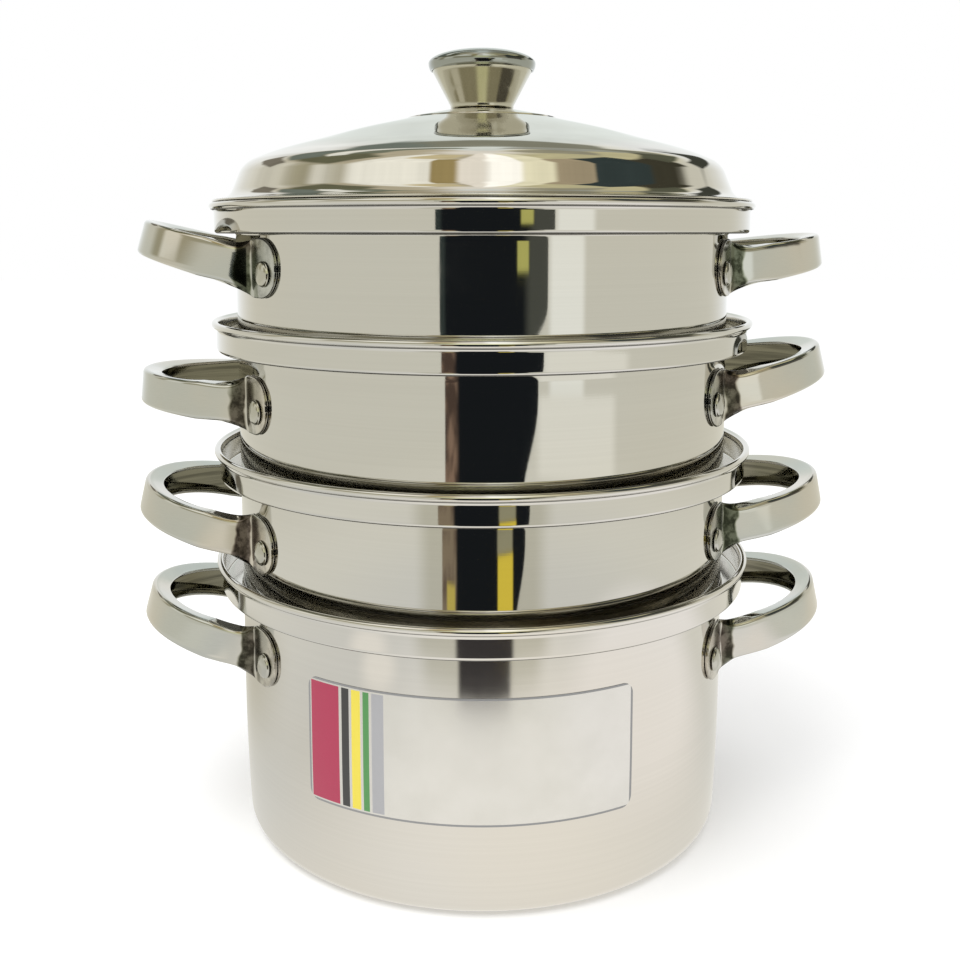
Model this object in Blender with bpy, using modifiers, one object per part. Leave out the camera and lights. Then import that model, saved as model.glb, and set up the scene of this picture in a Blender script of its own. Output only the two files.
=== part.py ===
"""Momo steamer: a deep boiling pot, three perforated steaming tiers stacked on it and a domed lid.

Every vessel is pressed from steel sheet with a stepped mouth: the wall runs out into a shoulder, up
into a collar and over into a rolled lip. The vessel above nests its rounded bottom corner on the
rounded edge of that shoulder. Each vessel has two strap handles, riveted on through their feet, and
the lid has a hollow knob of two pressings held by a screw and washer.

Metres, +Z up. The origin is the centre of the pot's flat base; the handles lie along X.
"""

import math

import bmesh
import bpy
from mathutils import Matrix, Vector

# Sheet and clearances
SHEET = 0.0012
LID_SHEET = 0.0010
GAP = 0.0003

# Vessel mouth, shared by the pot and the tiers so that they stack in any order
COLLAR_RADIUS = 0.1300
SHOULDER_WIDTH = 0.0100
WALL_RADIUS = COLLAR_RADIUS - SHOULDER_WIDTH
COLLAR_DEPTH = 0.0128
COLLAR_CORNER = 0.0018
LIP_SECTION = 0.0016
LIP_REACH = 0.0007
LIP_BLEND = 0.0016
SHOULDER_EDGE = 0.0025

# Vessel bodies, heights from the underside to the middle of the lip
POT_HEIGHT = 0.1293
POT_CORNER = 0.0070
POT_TAPER = 0.0016
POT_BASE_RADIUS = WALL_RADIUS - POT_TAPER
POT_TAPER_TOP = 0.0690
TIER_CORNER = 0.0060
TIER_HEIGHTS = {"lower": 0.0698, "middle": 0.0763, "upper": 0.0708}

# Steam holes in each tier's floor, on a triangular grid
HOLE_RADIUS = 0.0055
HOLE_PITCH = 0.0340
HOLE_EDGE_MARGIN = 0.0120

# Lid, radii and heights of its pressed form
LID_OVERHANG = 0.0009
LID_FLANGE_RADIUS = COLLAR_RADIUS + LID_OVERHANG
LID_FLANGE_WIDTH = 0.0025
LID_FLARE = 0.0080
LID_WALL_LEAN = math.radians(22.0)
LID_WALL_HEIGHT = 0.0124
LID_SHOULDER = 0.0120
LID_BROW_SLOPE = math.radians(24.0)
LID_BROW_INSET = 0.0297
LID_BROW_RADIUS = LID_FLANGE_RADIUS - LID_BROW_INSET
LID_SLOPE = math.radians(14.2)
LID_DISC_RADIUS = 0.0370
LID_DISC_STEP = 0.0005
LID_DISC_SLOPE = math.radians(11.6)

# Knob: a conical body, a crimped cap, a screw from below and its washer
KNOB_BASE_RADIUS = 0.0155
KNOB_NECK_RADIUS = 0.0243
KNOB_BODY_HEIGHT = 0.0215
KNOB_SHEET = 0.0010
KNOB_CAP_RADIUS = 0.0262
KNOB_CAP_BAND = 0.0034
KNOB_CAP_DOME = 0.0068
KNOB_BOSS_RADIUS = 0.0055
KNOB_BOSS_HEIGHT = 0.0090
SCREW_RADIUS = 0.0025
SCREW_HEAD_RADIUS = 0.0052
SCREW_HEAD_HEIGHT = 0.0028
SCREW_END_COVER = 0.0015
WASHER_RADIUS = 0.0085
WASHER_SHEET = 0.0012

# Handles: a strap bent into a loop, its edges turned in as flanges that fade out towards the feet
STRAP_SHEET = 0.0015
STRAP_HEIGHT = 0.0162
STRAP_CORNER = 0.0016
FLANGE_DEPTH = 0.0080
FLANGE_SLOPE = math.radians(12.0)
HANDLE_HALF_WIDTH = 0.0510
HANDLE_FULLNESS = 2.3
BEND_RADIUS = 0.0045
FOOT_HEIGHT = 0.0265
FOOT_RISE = 0.0015
FOOT_LENGTH = 0.0220

# Rivets through the feet
RIVET_SHANK = 0.0025
RIVET_HEAD = 0.0057
RIVET_HEAD_HEIGHT = 0.0024
RIVET_TAIL = 0.0042
RIVET_TAIL_HEIGHT = 0.0012
RIVET_INSET = 0.0092
RIVET_DROP = 0.0010

# How each vessel's pair of handles is set: their turn about the axis, then for the left and the right
# handle the drop below the lip, the reach from the wall, the upward lean and the rise towards the back
HANDLE_TURNS_DEG = {"pot": 4.7, "lower": 4.4, "middle": 2.9, "upper": 7.7}
LEFT_DROPS = {"pot": 0.0360, "lower": 0.0354, "middle": 0.0356, "upper": 0.0293}
RIGHT_DROPS = {"pot": 0.0371, "lower": 0.0351, "middle": 0.0331, "upper": 0.0300}
LEFT_REACHES = {"pot": 0.0490, "lower": 0.0500, "middle": 0.0480, "upper": 0.0465}
RIGHT_REACHES = {"pot": 0.0545, "lower": 0.0540, "middle": 0.0530, "upper": 0.0535}
LEFT_LEANS_DEG = {"pot": 15.5, "lower": 13.0, "middle": 5.5, "upper": 16.0}
RIGHT_LEANS_DEG = {"pot": 12.5, "lower": 11.0, "middle": 14.0, "upper": 8.8}
LEFT_RISES_DEG = {"pot": 0.0, "lower": 2.6, "middle": 0.0, "upper": 0.0}
RIGHT_RISES_DEG = {"pot": 2.0, "lower": 1.3, "middle": 0.5, "upper": 0.0}

# Facets
TURNED_STEPS = 32
KNOB_STEPS = 20
SMALL_STEPS = 8

STEEL = (0.62, 0.61, 0.57)
PALE_STEEL = (0.74, 0.73, 0.71)
STRAP_STEEL = (0.55, 0.54, 0.47)


def arc(centre, radius, start_deg, end_deg, steps):
    """Points along a circular arc in the profile's plane."""
    points = []
    for step in range(steps + 1):
        angle = math.radians(start_deg + (end_deg - start_deg) * step / steps)
        points.append((centre[0] + radius * math.cos(angle), centre[1] + radius * math.sin(angle)))
    return points


def nest_depth(corner):
    """How far a vessel's bottom corner sinks below the shoulder that carries it.

    Both edges are arcs: the shoulder's, centred under its edge, and the corner's. They lie one gap
    apart, and their centres are one sheet less than the sum of the radii apart sideways.
    """
    reach = SHOULDER_EDGE + corner
    return reach - math.sqrt((reach + GAP) ** 2 - (reach - SHEET) ** 2)


def mouth_profile(rim):
    """The mouth from the inner wall, over the shoulder, collar and lip, to the outer wall."""
    shoulder_top = rim - COLLAR_DEPTH + SHEET
    inner_wall = WALL_RADIUS - SHEET
    collar_inside = COLLAR_RADIUS - SHEET
    lip_centre = (COLLAR_RADIUS + LIP_REACH, rim)
    edge = arc((inner_wall + SHOULDER_EDGE, shoulder_top - SHOULDER_EDGE), SHOULDER_EDGE, 180, 90, 2)
    points = edge
    points.append((collar_inside, shoulder_top))
    points += arc(lip_centre, LIP_SECTION, 165, -75, 4)
    points.append((COLLAR_RADIUS, rim - LIP_SECTION - LIP_BLEND))
    corner_centre = (COLLAR_RADIUS - COLLAR_CORNER, rim - COLLAR_DEPTH + COLLAR_CORNER)
    points += arc(corner_centre, COLLAR_CORNER, 0, -90, 2)
    points.append((WALL_RADIUS + SHEET / 2, rim - COLLAR_DEPTH))
    points.append((WALL_RADIUS, rim - COLLAR_DEPTH - SHEET / 2))
    return points


def vessel_profile(height, corner, base_radius, taper_top):
    """A vessel's section from the middle of its floor, over the lip, to the middle of its underside."""
    inner_corner = corner - SHEET
    centre = (base_radius - corner, corner)
    points = [(0.0, SHEET)]
    points += arc(centre, inner_corner, -90, 0, 2)
    outer_taper = []
    if taper_top > corner:
        for share in (0.0, 0.55):
            z = taper_top + (corner - taper_top) * share
            fall = (WALL_RADIUS - base_radius) * share ** 2
            outer_taper.append((WALL_RADIUS - fall, z))
        points += [(r - SHEET, z) for r, z in reversed(outer_taper)]
    points += mouth_profile(height)
    points += outer_taper
    points += arc(centre, corner, 0, -90, 3)
    points.append((0.0, 0.0))
    return points


def lid_profile():
    """The lid's section from the top of its middle, round the flange's edge, to under its middle.

    The flat flange flares up into a wall that leans inwards. A round shoulder turns it into the steep
    brow, the long cone and the slightly raised disc that carries the knob.
    """
    lean = math.degrees(LID_WALL_LEAN)
    flare_centre = (LID_FLANGE_RADIUS - LID_FLANGE_WIDTH, LID_SHEET + LID_FLARE)
    wall_foot = arc(flare_centre, LID_FLARE, -90, lean - 180, 1)[-1]
    wall_top = LID_SHEET + LID_WALL_HEIGHT
    wall_in = wall_foot[0] - (wall_top - wall_foot[1]) * math.tan(LID_WALL_LEAN)
    shoulder_centre = (wall_in - LID_SHOULDER * math.cos(LID_WALL_LEAN),
                       wall_top - LID_SHOULDER * math.sin(LID_WALL_LEAN))

    def surface(offset):
        """The pressed form, moved inwards by the offset, from the flange to the knob's seat."""
        points = [(LID_FLANGE_RADIUS, LID_SHEET - offset)]
        points += arc(flare_centre, LID_FLARE + offset, -90, lean - 180, 2)
        end = 90 - math.degrees(LID_BROW_SLOPE)
        points += arc(shoulder_centre, LID_SHOULDER - offset, lean, end, 2)
        disc_edge = LID_DISC_RADIUS - offset
        for radius, slope in ((LID_BROW_RADIUS, LID_BROW_SLOPE), (disc_edge, LID_SLOPE)):
            points.append((radius, points[-1][1] + (points[-1][0] - radius) * math.tan(slope)))
        rim = disc_edge - LID_DISC_STEP
        points.append((rim, points[-1][1] + LID_DISC_STEP))
        seat_z = points[-1][1] + (rim - KNOB_BASE_RADIUS) * math.tan(LID_DISC_SLOPE)
        points.append((KNOB_BASE_RADIUS, seat_z))
        return points
    upper = surface(0.0)
    lower = surface(LID_SHEET)
    hole = SCREW_RADIUS + GAP
    seat_z = upper[-1][1]
    under_z = lower[-1][1]
    section = [(hole, seat_z)] + upper[::-1] + lower + [(hole, under_z), (hole, seat_z)]
    return section, seat_z, under_z


def knob_body_profile():
    """The knob's hollow cone with its base plate and threaded boss, from the boss round the outside."""
    hole = SCREW_RADIUS + GAP
    plate = KNOB_SHEET * 1.5
    top = KNOB_BODY_HEIGHT
    neck = top - KNOB_CAP_BAND
    return [
        (hole, 0.0),
        (hole, KNOB_BOSS_HEIGHT),
        (KNOB_BOSS_RADIUS, KNOB_BOSS_HEIGHT),
        (KNOB_BOSS_RADIUS, plate),
        (KNOB_BASE_RADIUS - KNOB_SHEET, plate),
        (KNOB_NECK_RADIUS - KNOB_SHEET, neck),
        (KNOB_NECK_RADIUS - KNOB_SHEET, top),
        (KNOB_NECK_RADIUS, top),
        (KNOB_NECK_RADIUS, neck),
        (KNOB_BASE_RADIUS, plate),
        (KNOB_BASE_RADIUS - KNOB_SHEET * 0.5, 0.0),
        (hole, 0.0),
    ]


def knob_cap_profile():
    """The domed cap with its crimped band, from the middle of its underside to the top."""
    inside = KNOB_NECK_RADIUS + GAP
    crown = KNOB_CAP_BAND + KNOB_CAP_DOME
    dome = [(KNOB_CAP_RADIUS * r, KNOB_CAP_BAND + KNOB_CAP_DOME * z)
            for r, z in arc((0.0, 0.0), 1.0, 0, 90, 4)]
    dome[-1] = (0.0, crown)
    skirt = [(KNOB_CAP_RADIUS - KNOB_SHEET * 0.9, 0.0), (KNOB_CAP_RADIUS, KNOB_CAP_BAND * 0.6)]
    under = [(0.0, crown - KNOB_SHEET)]
    for r, z in reversed(dome[1:-1]):
        under.append((r - KNOB_SHEET * 0.6, z - KNOB_SHEET))
    under.append((inside, KNOB_CAP_BAND))
    under.append((inside, 0.0))
    return (under + skirt + dome)[::-1]


def collection(name):
    made = bpy.data.collections.new(name)
    bpy.context.scene.collection.children.link(made)
    return made


def material(name, colour, roughness):
    made = bpy.data.materials.new(name)
    made.use_nodes = True
    shader = made.node_tree.nodes["Principled BSDF"]
    shader.inputs["Base Color"].default_value = (*colour, 1.0)
    shader.inputs["Metallic"].default_value = 1.0
    shader.inputs["Roughness"].default_value = roughness
    made.diffuse_color = (*colour, 1.0)
    made.metallic = 1.0
    made.roughness = roughness
    return made


def add_object(name, mesh, group, parent=None, location=(0.0, 0.0, 0.0), rotation=(0.0, 0.0, 0.0)):
    made = bpy.data.objects.new(name, mesh)
    group.objects.link(made)
    made.parent = parent
    made.location = location
    made.rotation_euler = rotation
    return made


def add_screw(piece, steps):
    """Turn the profile in this object's mesh once about Z."""
    screw = piece.modifiers.new("Turn", "SCREW")
    screw.axis = "Z"
    screw.angle = math.tau
    screw.steps = steps
    screw.render_steps = steps
    screw.use_merge_vertices = True
    screw.merge_threshold = 0.00001
    screw.use_smooth_shade = True


def profile_mesh(name, points):
    mesh = bpy.data.meshes.new(name)
    closed = points[0] == points[-1]
    if closed:
        points = points[:-1]
    verts = [(x, 0.0, z) for x, z in points]
    edges = [(i, i + 1) for i in range(len(points) - 1)]
    if closed:
        edges.append((len(points) - 1, 0))
    mesh.from_pydata(verts, edges, [])
    return mesh


def bake(piece):
    """Replace an object's modifiers by the mesh that they make."""
    bpy.context.view_layer.update()
    graph = bpy.context.evaluated_depsgraph_get()
    mesh = bpy.data.meshes.new_from_object(piece.evaluated_get(graph))
    piece.modifiers.clear()
    piece.data = mesh
    return mesh


def open_flat_middle(mesh):
    """Dissolve the spokes at the axis, so that each flat floor is one face for the holes."""
    bm = bmesh.new()
    bm.from_mesh(mesh)
    hubs = [v for v in bm.verts if v.co.xy.length < SHEET / 100]
    bmesh.ops.dissolve_verts(bm, verts=hubs)
    bm.to_mesh(mesh)
    bm.free()


def smooth(piece, angle_deg=35.0):
    for polygon in piece.data.polygons:
        polygon.use_smooth = True
    if piece.data.polygons:
        piece.data.set_sharp_from_angle(angle=math.radians(angle_deg))


def turned(name, points, steps, group, shade, parent=None, location=(0.0, 0.0, 0.0), rotation=(0, 0, 0)):
    piece = add_object(name, profile_mesh(name, points), group, parent, location, rotation)
    piece.data.materials.append(shade)
    add_screw(piece, steps)
    return piece


def cutter(name, group, parent, places, radius, length, steps):
    """One wire object of parallel-sided plugs, each a matrix in the parent's frame."""
    bm = bmesh.new()
    flat = radius / math.cos(math.pi / steps)
    for place in places:
        bmesh.ops.create_cone(bm, cap_ends=True, segments=steps, radius1=flat, radius2=flat,
                              depth=length, matrix=place)
    mesh = bpy.data.meshes.new(name)
    bm.to_mesh(mesh)
    bm.free()
    made = add_object(name, mesh, group, parent)
    made.hide_render = True
    made.display_type = "WIRE"
    return made


def cut(piece, tool):
    boolean = piece.modifiers.new("Cut " + tool.name, "BOOLEAN")
    boolean.operation = "DIFFERENCE"
    boolean.solver = "EXACT"
    boolean.object = tool


def steam_hole_places(flat_radius):
    """Centres of the steam holes on a triangular grid, kept clear of the floor's rounded corner."""
    places = []
    reach = flat_radius - HOLE_EDGE_MARGIN
    rows = int(reach / (HOLE_PITCH * math.sin(math.pi / 3))) + 1
    columns = int(reach / HOLE_PITCH) + 2
    for row in range(-rows, rows + 1):
        for column in range(-columns, columns + 1):
            x = (column + (row % 2) / 2) * HOLE_PITCH
            y = row * HOLE_PITCH * math.sin(math.pi / 3)
            if math.hypot(x, y) + HOLE_RADIUS <= reach:
                places.append(Matrix.Translation((x, y, SHEET / 2)))
    return places


def foot_radius():
    """Radius of the middle of a foot's sheet, seated one gap off the wall."""
    return WALL_RADIUS + GAP + STRAP_SHEET / 2


def root_angle():
    """Angle round the wall, from the handle's middle, where the loop leaves the foot."""
    return math.asin(HANDLE_HALF_WIDTH / foot_radius())


def rivet_angle():
    return root_angle() + (FOOT_LENGTH - RIVET_INSET) / foot_radius()


def rounded_corner(before, corner, after, radius, steps):
    """Points of the arc that rounds the corner between two straight runs."""
    back = (before - corner).normalized()
    ahead = (after - corner).normalized()
    half = back.angle(ahead) / 2
    centre = corner + (back + ahead).normalized() * (radius / math.sin(half))
    start = corner + back * (radius / math.tan(half)) - centre
    turn = start.angle_signed(corner + ahead * (radius / math.tan(half)) - centre)
    points = []
    for step in range(steps + 1):
        points.append(centre + Matrix.Rotation(-turn * step / steps, 2) @ start)
    return points


def strap_stations(reach):
    """Half the strap's middle line in the loop's plane, from the foot's tip to the loop's far end.

    Each station is its point (outwards, sideways), how far the foot's form still holds there, and
    the share of the foot's height left by its rounded tip.
    """
    radius = foot_radius()
    root = root_angle()
    stations = []
    for run, height in ((1.0, 0.35), (0.84, 0.78), (0.45, 1.0)):
        angle = root + FOOT_LENGTH * run / radius
        stations.append((Vector((radius * math.cos(angle), radius * math.sin(angle))), 1.0, height))
    corner = Vector((radius * math.cos(root), radius * math.sin(root)))
    far = WALL_RADIUS + reach - STRAP_SHEET / 2
    ahead = corner + Vector((BEND_RADIUS * 4, 0.0))
    bend = rounded_corner(stations[-1][0], corner, ahead, BEND_RADIUS, 2)
    for share, point in zip((1.0, 0.85, 0.55), bend):
        stations.append((point, share, 1.0))
    for degrees, share in ((27.0, 0.12), (48.0, 0.0), (68.0, 0.0), (90.0, 0.0)):
        angle = math.radians(degrees)
        out = corner.x + (far - corner.x) * math.sin(angle) ** (2 / HANDLE_FULLNESS)
        stations.append((Vector((out, HANDLE_HALF_WIDTH * math.cos(angle))), share, 1.0))
    return stations


def strap_section(foot, tip):
    """The strap's section as (outwards, upwards) points: a channel, flattening into the foot."""
    height = (STRAP_HEIGHT + (FOOT_HEIGHT - STRAP_HEIGHT) * foot) * tip
    rise = FOOT_RISE * foot
    face = STRAP_SHEET / 2
    depth = STRAP_SHEET + (FLANGE_DEPTH - STRAP_SHEET) * (1.0 - foot) ** 1.5
    chamfer = STRAP_CORNER * (1.0 - 0.6 * foot) * tip
    fall = (depth - STRAP_SHEET) * math.tan(FLANGE_SLOPE)
    inner = STRAP_SHEET * 1.25
    half = [
        (face, height / 2 - chamfer),
        (face - chamfer * 0.8, height / 2),
        (face - depth, height / 2 - fall),
        (face - depth, height / 2 - fall - STRAP_SHEET),
        (-face, height / 2 - inner - STRAP_SHEET * 0.2),
    ]
    points = half + [(n, -w) for n, w in reversed(half)]
    return [(n, w + rise) for n, w in points]


def strap_mesh(name, lean, reach, slant):
    """Loft the strap through its sections along the whole loop, foot to foot.

    The slant is how much each station is raised for its distance sideways.
    """
    half = strap_stations(reach)
    root_out = foot_radius() * math.cos(root_angle())
    line = []
    for point, foot, tip in half + [(Vector((p.x, -p.y)), f, t) for p, f, t in reversed(half[:-1])]:
        out = point.x
        up = point.y * slant
        if out > root_out:
            up += (out - root_out) * math.sin(lean)
            out = root_out + (out - root_out) * math.cos(lean)
        line.append((Vector((out, point.y, up)), foot, tip))
    bm = bmesh.new()
    rings = []
    for i, (centre, foot, tip) in enumerate(line):
        before = line[max(i - 1, 0)][0]
        after = line[min(i + 1, len(line) - 1)][0]
        along = (after - before).normalized()
        tilt = lean * (1.0 - foot) ** 2
        up = Vector((-math.sin(tilt), 0.0, math.cos(tilt)))
        out = -along.cross(up).normalized()
        ring = [bm.verts.new(centre + out * n + up * w) for n, w in strap_section(foot, tip)]
        rings.append(ring)
    for near, beyond in zip(rings, rings[1:]):
        for k in range(len(near)):
            j = (k + 1) % len(near)
            bm.faces.new((near[k], near[j], beyond[j], beyond[k]))
    bm.faces.new(rings[0][::-1])
    bm.faces.new(rings[-1])
    bmesh.ops.recalc_face_normals(bm, faces=bm.faces)
    mesh = bpy.data.meshes.new(name)
    bm.to_mesh(mesh)
    bm.free()
    return mesh


def rivet_profile():
    """A rivet from the middle of its inner head, out along the shank, to its domed outer head.

    Its zero is the wall's outside; the outer head clears the foot and the tail the wall's inside.
    """
    seat = GAP * 2 + STRAP_SHEET
    flat_of_facet = WALL_RADIUS * (1.0 - math.cos(math.pi / TURNED_STEPS))
    tail = -(SHEET + flat_of_facet + GAP)
    return [
        (0.0, seat + RIVET_HEAD_HEIGHT),
        (RIVET_HEAD * 0.62, seat + RIVET_HEAD_HEIGHT * 0.78),
        (RIVET_HEAD, seat),
        (RIVET_SHANK, seat),
        (RIVET_SHANK, tail),
        (RIVET_TAIL, tail),
        (0.0, tail - RIVET_TAIL_HEIGHT),
    ]


def radial(angle, height, radius=0.0):
    """Matrix that lays local +Z along the radius at this angle and height."""
    lay = Matrix.Rotation(angle, 4, "Z") @ Matrix.Rotation(math.pi / 2, 4, "Y")
    return Matrix.Translation((radius * math.cos(angle), radius * math.sin(angle), height)) @ lay


def add_handles(vessel, key, rim, prefix, group, cutters, strap_shade, rivet_shade):
    """Both handles of a vessel with their rivets, and the holes through wall and feet."""
    turn = math.radians(HANDLE_TURNS_DEG[key])
    spread = rivet_angle()
    sides = (("right", turn, RIGHT_DROPS, RIGHT_LEANS_DEG, RIGHT_REACHES, RIGHT_RISES_DEG, 1),
             ("left", turn + math.pi, LEFT_DROPS, LEFT_LEANS_DEG, LEFT_REACHES, LEFT_RISES_DEG, -1))
    for side, side_angle, drops, leans, reaches, rises, back in sides:
        level = rim - drops[key]
        slant = back * math.tan(math.radians(rises[key]))
        name = prefix + "_handle_" + side
        mesh = strap_mesh(name, math.radians(leans[key]), reaches[key], slant)
        handle = add_object(name, mesh, group, vessel, (0.0, 0.0, level), (0.0, 0.0, side_angle))
        handle.data.materials.append(strap_shade)
        smooth(handle)
        places = []
        for end, sign in (("front", -back), ("back", back)):
            angle = sign * spread
            up = WALL_RADIUS * math.sin(angle) * slant - RIVET_DROP
            places.append(radial(side_angle + angle, level + up, WALL_RADIUS))
            spot = (WALL_RADIUS * math.cos(angle), WALL_RADIUS * math.sin(angle), up)
            turned(prefix + "_rivet_" + side + "_" + end, rivet_profile(), SMALL_STEPS, group,
                   rivet_shade, handle, spot, (0.0, math.pi / 2, angle))
        tool = cutter(name + "_rivet_cutter", cutters, vessel, places, RIVET_SHANK + GAP,
                      SHEET * 12, SMALL_STEPS)
        cut(vessel, tool)
        cut(handle, tool)


def main():
    for old in list(bpy.data.objects):
        bpy.data.objects.remove(old, do_unlink=True)
    group = collection("momo_steamer")
    cutters = collection("cutters")

    # Boiling pot
    pot = turned("base_pot", vessel_profile(POT_HEIGHT, POT_CORNER, POT_BASE_RADIUS, POT_TAPER_TOP),
                 TURNED_STEPS, group, material("pot_steel", PALE_STEEL, 0.09))
    add_handles(pot, "pot", POT_HEIGHT, "pot", group, cutters,
                material("pot_strap_steel", STRAP_STEEL, 0.14), material("pot_rivet_steel", STEEL, 0.18))

    # Steaming tiers, each standing in the mouth below it
    seat_step = nest_depth(TIER_CORNER)
    carrier = pot
    carrier_rim = POT_HEIGHT
    for key, height in TIER_HEIGHTS.items():
        stand = carrier_rim - COLLAR_DEPTH + SHEET - seat_step
        prefix = "tier_" + key
        tier = turned("steamer_" + prefix, vessel_profile(height, TIER_CORNER, WALL_RADIUS, 0.0),
                      TURNED_STEPS, group, material(prefix + "_steel", STEEL, 0.08), carrier,
                      (0.0, 0.0, stand))
        open_flat_middle(bake(tier))
        smooth(tier)
        holes = cutter(prefix + "_steam_hole_cutter", cutters, tier,
                       steam_hole_places(WALL_RADIUS - TIER_CORNER), HOLE_RADIUS, SHEET * 4, 6)
        cut(tier, holes)
        add_handles(tier, key, height, prefix, group, cutters,
                    material(prefix + "_strap_steel", STRAP_STEEL, 0.14),
                    material(prefix + "_rivet_steel", STEEL, 0.18))
        carrier = tier
        carrier_rim = height

    # Lid, its flange resting on the top lip
    lid_points, seat_z, under_z = lid_profile()
    lid = turned("lid", lid_points, TURNED_STEPS, group, material("lid_steel", STEEL, 0.07), carrier,
                 (0.0, 0.0, carrier_rim + LIP_SECTION + GAP))

    # Knob, screwed on from below
    knob = turned("knob_body", knob_body_profile(), KNOB_STEPS, group,
                  material("knob_body_steel", STRAP_STEEL, 0.10), lid, (0.0, 0.0, seat_z + GAP))
    turned("knob_cap", knob_cap_profile(), KNOB_STEPS, group,
           material("knob_cap_steel", STRAP_STEEL, 0.10), knob,
           (0.0, 0.0, KNOB_BODY_HEIGHT - KNOB_CAP_BAND + GAP))
    hole = SCREW_RADIUS + GAP
    washer_z = under_z - GAP - WASHER_SHEET
    turned("knob_washer", [(hole, WASHER_SHEET), (WASHER_RADIUS, WASHER_SHEET), (WASHER_RADIUS, 0.0),
                           (hole, 0.0), (hole, WASHER_SHEET)],
           SMALL_STEPS * 2, group, material("washer_steel", STEEL, 0.25), lid, (0.0, 0.0, washer_z))
    head_top = washer_z - GAP
    shank_end = seat_z + GAP + KNOB_BOSS_HEIGHT - SCREW_END_COVER - head_top
    turned("knob_screw", [(0.0, shank_end), (SCREW_RADIUS, shank_end), (SCREW_RADIUS, 0.0),
                          (SCREW_HEAD_RADIUS, 0.0), (SCREW_HEAD_RADIUS * 0.8, -SCREW_HEAD_HEIGHT),
                          (0.0, -SCREW_HEAD_HEIGHT)],
           SMALL_STEPS, group, material("screw_steel", STEEL, 0.25), lid, (0.0, 0.0, head_top))


main()
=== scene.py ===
"""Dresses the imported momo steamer: smooth polished shells, straps, rivets and knob around the fixed frame.

Metres, +Z up, the origin at the centre of the pot's flat base, the front facing -Y.
"""

import math

import bmesh
import bpy
import numpy as np
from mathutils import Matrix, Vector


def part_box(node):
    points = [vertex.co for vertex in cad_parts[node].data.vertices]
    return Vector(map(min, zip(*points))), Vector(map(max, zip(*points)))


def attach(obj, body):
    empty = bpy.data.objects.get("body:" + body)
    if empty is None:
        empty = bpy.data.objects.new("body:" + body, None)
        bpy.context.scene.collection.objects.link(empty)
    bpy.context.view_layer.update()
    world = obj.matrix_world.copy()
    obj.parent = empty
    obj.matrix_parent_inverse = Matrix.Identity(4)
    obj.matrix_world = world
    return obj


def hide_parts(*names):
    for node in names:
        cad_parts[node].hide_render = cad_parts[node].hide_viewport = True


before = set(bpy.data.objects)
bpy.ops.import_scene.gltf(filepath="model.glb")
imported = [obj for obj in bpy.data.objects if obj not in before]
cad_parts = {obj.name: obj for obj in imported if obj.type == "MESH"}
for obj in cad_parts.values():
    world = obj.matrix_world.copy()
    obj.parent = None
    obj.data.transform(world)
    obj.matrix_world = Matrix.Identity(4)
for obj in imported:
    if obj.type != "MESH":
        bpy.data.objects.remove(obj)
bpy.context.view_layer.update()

# Sizes of the real pieces, as the solids have them
SHEET = 0.0012
LID_SHEET = 0.0010
GAP = 0.0003
WALL = 0.1200
COLLAR = 0.1300
COLLAR_DEPTH = 0.0128
LIP = 0.0016
LIP_REACH = 0.0007
SHOULDER_EDGE = 0.0025
POT_HEIGHT = 0.1293
POT_CORNER = 0.0070
POT_BASE = 0.1184
POT_TAPER_TOP = 0.0690
TIER_CORNER = 0.0060
TIER_HEIGHTS = {"lower": 0.0698, "middle": 0.0763, "upper": 0.0708}
HOLE_RADIUS = 0.0055
HOLE_PITCH = 0.0340
HOLE_REACH = 0.1020
LID_FLANGE = 0.1309
LID_FLANGE_WIDTH = 0.0025
LID_FLARE = 0.0080
LID_WALL_LEAN = 22.0
LID_WALL_HEIGHT = 0.0124
LID_SHOULDER = 0.0120
LID_BROW = 0.1012
LID_BROW_SLOPE = 24.0
LID_SLOPE = 14.2
LID_CROWN = 0.0005
LID_DISC = 0.0370
LID_DISC_STEP = 0.0005
LID_DISC_SLOPE = 11.6
KNOB_BASE = 0.0155
KNOB_NECK = 0.0243
KNOB_HEIGHT = 0.0215
KNOB_SHEET = 0.0010
CAP_RADIUS = 0.0262
CAP_BAND = 0.0034
CAP_DOME = 0.0068
BOSS_RADIUS = 0.0055
BOSS_HEIGHT = 0.0090
SCREW_RADIUS = 0.0025
STRAP_SHEET = 0.0015
STRAP_HEIGHT = 0.0162
STRAP_BEND = 0.0012
FLANGE_DEPTH = 0.0080
FLANGE_FALL = 12.0
HANDLE_HALF_WIDTH = 0.0510
HANDLE_FULLNESS = 2.3
FOOT_HEIGHT = 0.0265
FOOT_RISE = 0.0015
FOOT_LENGTH = 0.0220
FOOT_TIP = 0.0125
RIVET_HEAD = 0.0057
RIVET_HEAD_HEIGHT = 0.0024
RIVET_SHANK = 0.0025
RIVET_TAIL = 0.0042
RIVET_TAIL_HEIGHT = 0.0012
RIVET_INSET = 0.0092
RIVET_DROP = 0.0010
HANDLE_TURNS = {"pot": 4.7, "lower": 4.4, "middle": 2.9, "upper": 7.7}
# Each handle's drop below the lip, upward lean, reach from the axis and rise towards the back
HANDLE_SETS = {
    "pot": {"left": (0.0360, 15.5, 0.1690, 0.0), "right": (0.0371, 12.5, 0.1745, 2.0)},
    "lower": {"left": (0.0354, 13.0, 0.1700, 2.6), "right": (0.0351, 11.0, 0.1740, 1.3)},
    "middle": {"left": (0.0356, 5.5, 0.1680, 0.0), "right": (0.0331, 14.0, 0.1730, 0.5)},
    "upper": {"left": (0.0293, 16.0, 0.1665, 0.0), "right": (0.0300, 8.8, 0.1735, 0.0)},
}

# Steps round the vessels and the lid, round the knob and round a steam hole
ROUND = 360
KNOB_ROUND = 96
HOLE_SIDES = 28

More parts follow.
